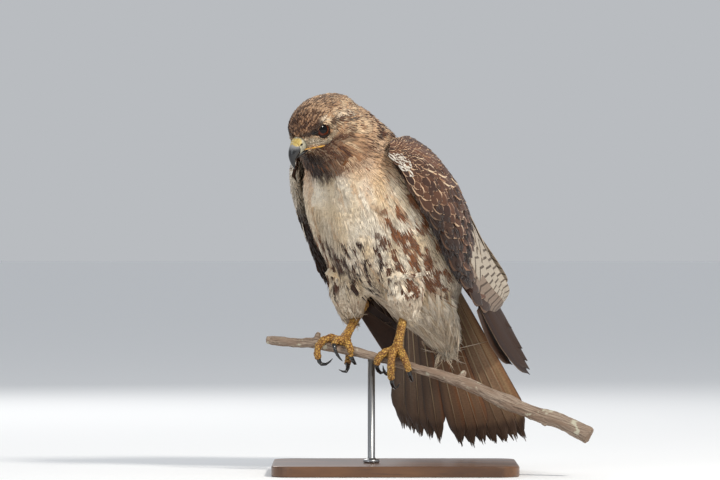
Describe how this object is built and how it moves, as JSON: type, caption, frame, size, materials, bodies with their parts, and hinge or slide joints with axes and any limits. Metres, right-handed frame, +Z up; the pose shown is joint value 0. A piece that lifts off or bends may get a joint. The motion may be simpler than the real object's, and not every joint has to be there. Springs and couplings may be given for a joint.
{
  "type": "red-tailed hawk",
  "caption": "Life-size still model of a perched red-tailed hawk with folded wings and fanned tail, gripping a short length of branch on a plain display stand.",
  "frame": {"origin": "centre of the underside of the stand's base", "axes": "+Z up; -Y towards the viewer of the picture, so +X runs to the viewer's right"},
  "size_m": [0.3587, 0.3411, 0.4179],
  "materials": {
    "plumage_head": "soft barbed feathers, buff with brown streaks",
    "plumage_neck": "soft barbed feathers, tawny",
    "plumage_body": "soft barbed feathers, cream with brown spots",
    "plumage_rump": "loose soft feathers, cream",
    "wing_coverts": "overlapping vaned feathers, dark brown with buff fringes",
    "flight_feathers": "stiff vaned feathers with a faint sheen",
    "tail_feathers": "stiff vaned feathers, rufous above and paler below",
    "cere": "waxy skin",
    "horn": "polished horn",
    "eye": "wet gloss",
    "foot_skin": "scaled skin",
    "bark": "weathered bark",
    "rod_steel": "satin",
    "base_wood": "satin varnish"
  },
  "bodies": {
    "root": {"head": "plumage_head", "neck": "plumage_neck", "trunk": "plumage_body", "rump": "plumage_rump", "thigh_left": "plumage_body", "thigh_right": "plumage_body", "foot_left": "foot_skin", "foot_right": "foot_skin", "wing_left_coverts": "wing_coverts", "wing_right_coverts": "wing_coverts", "wing_left_secondaries": "flight_feathers", "wing_right_secondaries": "flight_feathers", "wing_left_primaries": "flight_feathers", "wing_right_primaries": "flight_feathers", "tail": "tail_feathers", "cere": "cere", "bill_upper": "horn", "bill_lower": "horn", "eye_left": "eye", "eye_right": "eye", "perch": "bark", "stand_rod": "rod_steel", "stand_base": "base_wood", "talon_left_inner": "horn", "talon_left_middle": "horn", "talon_left_outer": "horn", "talon_left_rear": "horn", "talon_right_inner": "horn", "talon_right_middle": "horn", "talon_right_outer": "horn", "talon_right_rear": "horn"}
  },
  "joints": []
}
